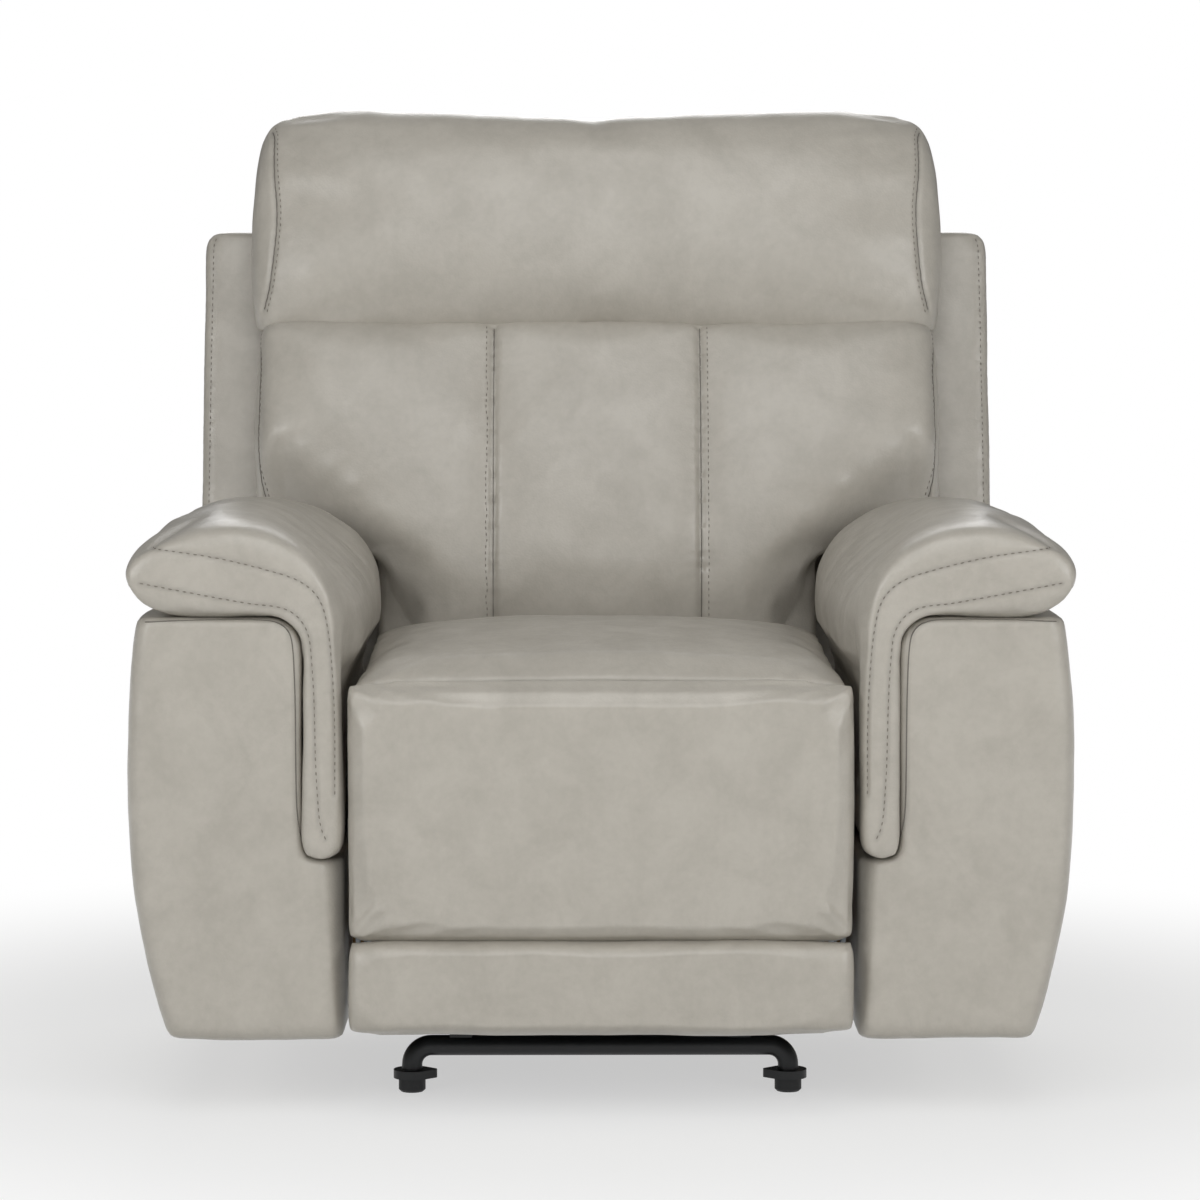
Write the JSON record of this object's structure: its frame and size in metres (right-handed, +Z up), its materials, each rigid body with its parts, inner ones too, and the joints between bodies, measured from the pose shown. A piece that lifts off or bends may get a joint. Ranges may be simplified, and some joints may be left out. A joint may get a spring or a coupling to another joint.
{
  "type": "glider recliner",
  "caption": "Padded leather glider recliner: swinging steel glider base, reclining back with headrest pillow, folding scissor footrest and recessed release handle.",
  "frame": {"origin": "on the floor below the middle of the chair's box, footrest closed and back upright", "axes": "+Z up, -Y towards the front of the chair, +X to the right as seen from the front"},
  "size_m": [0.99, 1.0002, 1.082],
  "materials": {
    "leather_grey": "satin",
    "steel_black": "satin",
    "steel_zinc": "satin",
    "plywood": "matte",
    "cloth_black": "matte",
    "plastic_black": "matte"
  },
  "bodies": {
    "base": {"base_front_tube": "steel_black", "base_rear_tube": "steel_black", "base_side_rail_left": "steel_black", "base_side_rail_right": "steel_black", "glide_post_front_left": "steel_black", "glide_post_front_right": "steel_black", "glide_post_rear_left": "steel_black", "glide_post_rear_right": "steel_black", "foot_glide_front_left": "plastic_black", "foot_glide_front_right": "plastic_black", "foot_glide_rear_left": "plastic_black", "foot_glide_rear_right": "plastic_black"},
    "chair": {"mechanism_plate_left": "steel_zinc", "mechanism_plate_right": "steel_zinc", "hanger_plate_left": "steel_black", "hanger_plate_right": "steel_black", "seat_side_rail_left": "plywood", "seat_side_rail_right": "plywood", "arm_inner_panel_left": "plywood", "arm_inner_panel_right": "plywood", "arm_shell_left": "leather_grey", "arm_shell_right": "leather_grey", "arm_pad_left": "leather_grey", "arm_pad_right": "leather_grey", "seat_front_rail": "plywood", "seat_rear_rail": "plywood", "seat_webbing": "cloth_black", "seat_cushion": "leather_grey", "rear_lower_panel": "cloth_black", "release_cup": "plastic_black"},
    "back": {"back_post_left": "steel_black", "back_post_right": "steel_black", "back_stile_left": "plywood", "back_stile_right": "plywood", "back_bottom_rail": "plywood", "back_top_rail": "plywood", "back_webbing": "cloth_black", "back_outer_shell": "leather_grey", "back_cushion": "leather_grey", "headrest_cushion": "leather_grey"},
    "footrest_drive": {"drive_tube": "steel_zinc", "drive_link_left": "steel_zinc", "drive_link_right": "steel_zinc"},
    "footrest": {"footrest_bracket_left": "steel_zinc", "footrest_bracket_right": "steel_zinc", "footrest_board": "plywood", "footrest_upper_pad": "leather_grey", "footrest_lower_pad": "leather_grey"},
    "release_handle": {"release_handle": "plastic_black"},
    "glide_link_front_left": {"glide_link_front_left": "steel_zinc"},
    "glide_link_front_right": {"glide_link_front_right": "steel_zinc"},
    "glide_link_rear_left": {"glide_link_rear_left": "steel_zinc"},
    "glide_link_rear_right": {"glide_link_rear_right": "steel_zinc"},
    "front_link_left": {"front_link_left": "steel_zinc"},
    "guide_link_left": {"guide_link_left": "steel_zinc"},
    "lift_link_left": {"lift_link_left": "steel_zinc"},
    "front_link_right": {"front_link_right": "steel_zinc"},
    "guide_link_right": {"guide_link_right": "steel_zinc"},
    "lift_link_right": {"lift_link_right": "steel_zinc"}
  },
  "joints": [
    {"name": "glide_link_front_left_swing", "type": "hinge", "parent": "base", "child": "glide_link_front_left", "pos_m": [-0.1705, -0.19, 0.265], "axis": [1, 0, 0], "range_deg": [-15, 15]},
    {"name": "glide_link_front_right_swing", "type": "hinge", "parent": "base", "child": "glide_link_front_right", "pos_m": [0.1705, -0.19, 0.265], "axis": [1, 0, 0], "range_deg": [-15, 15]},
    {"name": "glide_link_rear_left_swing", "type": "hinge", "parent": "base", "child": "glide_link_rear_left", "pos_m": [-0.1705, 0.058, 0.265], "axis": [1, 0, 0], "range_deg": [-15, 15]},
    {"name": "glide_link_rear_right_swing", "type": "hinge", "parent": "base", "child": "glide_link_rear_right", "pos_m": [0.1705, 0.058, 0.265], "axis": [1, 0, 0], "range_deg": [-15, 15]},
    {"name": "chair_level", "type": "hinge", "parent": "glide_link_front_left", "child": "chair", "pos_m": [-0.1705, -0.19, 0.125], "axis": [1, 0, 0], "range_deg": [-15, 15]},
    {"name": "back_recline", "type": "hinge", "parent": "chair", "child": "back", "pos_m": [0, 0.185, 0.3], "axis": [-1, 0, 0], "range_deg": [0, 35]},
    {"name": "footrest_extend", "type": "hinge", "parent": "chair", "child": "footrest_drive", "pos_m": [0, -0.27595, 0.315], "axis": [-1, 0, 0], "range_deg": [0, 53]},
    {"name": "front_link_left_turn", "type": "hinge", "parent": "footrest_drive", "child": "front_link_left", "pos_m": [-0.246, -0.36048, 0.13374], "axis": [-1, 0, 0], "range_deg": [-106.01, 0]},
    {"name": "guide_link_left_turn", "type": "hinge", "parent": "chair", "child": "guide_link_left", "pos_m": [-0.241, -0.18831, 0.28719], "axis": [-1, 0, 0], "range_deg": [0, 45.54]},
    {"name": "lift_link_left_turn", "type": "hinge", "parent": "footrest_drive", "child": "lift_link_left", "pos_m": [-0.256, -0.38161, 0.08842], "axis": [-1, 0, 0], "range_deg": [-106.98, 0]},
    {"name": "front_link_right_turn", "type": "hinge", "parent": "footrest_drive", "child": "front_link_right", "pos_m": [0.246, -0.36048, 0.13374], "axis": [-1, 0, 0], "range_deg": [-106.01, 0]},
    {"name": "guide_link_right_turn", "type": "hinge", "parent": "chair", "child": "guide_link_right", "pos_m": [0.241, -0.18831, 0.28719], "axis": [-1, 0, 0], "range_deg": [0, 45.54]},
    {"name": "lift_link_right_turn", "type": "hinge", "parent": "footrest_drive", "child": "lift_link_right", "pos_m": [0.256, -0.38161, 0.08842], "axis": [-1, 0, 0], "range_deg": [-106.98, 0]},
    {"name": "footrest_level", "type": "hinge", "parent": "front_link_left", "child": "footrest", "pos_m": [-0.246, -0.445, 0.315], "axis": [-1, 0, 0], "range_deg": [0, 143.01]},
    {"name": "release_pull", "type": "hinge", "parent": "chair", "child": "release_handle", "pos_m": [-0.4895, -0.346, 0.419], "axis": [0, 0, 1], "range_deg": [0, 40], "stiffness_Nm_per_rad": 0.4, "springref_deg": -5.73}
  ],
  "couplings": [
    {"joint": "glide_link_front_right_swing", "follows": "glide_link_front_left_swing", "ratio": 1},
    {"joint": "glide_link_rear_left_swing", "follows": "glide_link_front_left_swing", "ratio": 1},
    {"joint": "glide_link_rear_right_swing", "follows": "glide_link_front_left_swing", "ratio": 1},
    {"joint": "chair_level", "follows": "glide_link_front_left_swing", "ratio": -1},
    {"joint": "front_link_left_turn", "follows": "footrest_extend", "ratio": -2},
    {"joint": "guide_link_left_turn", "follows": "footrest_extend", "ratio": 0.85908},
    {"joint": "lift_link_left_turn", "follows": "footrest_extend", "ratio": -2.0184},
    {"joint": "front_link_right_turn", "follows": "footrest_extend", "ratio": -2},
    {"joint": "guide_link_right_turn", "follows": "footrest_extend", "ratio": 0.85908},
    {"joint": "lift_link_right_turn", "follows": "footrest_extend", "ratio": -2.0184},
    {"joint": "footrest_level", "follows": "footrest_extend", "ratio": 2.6981}
  ]
}
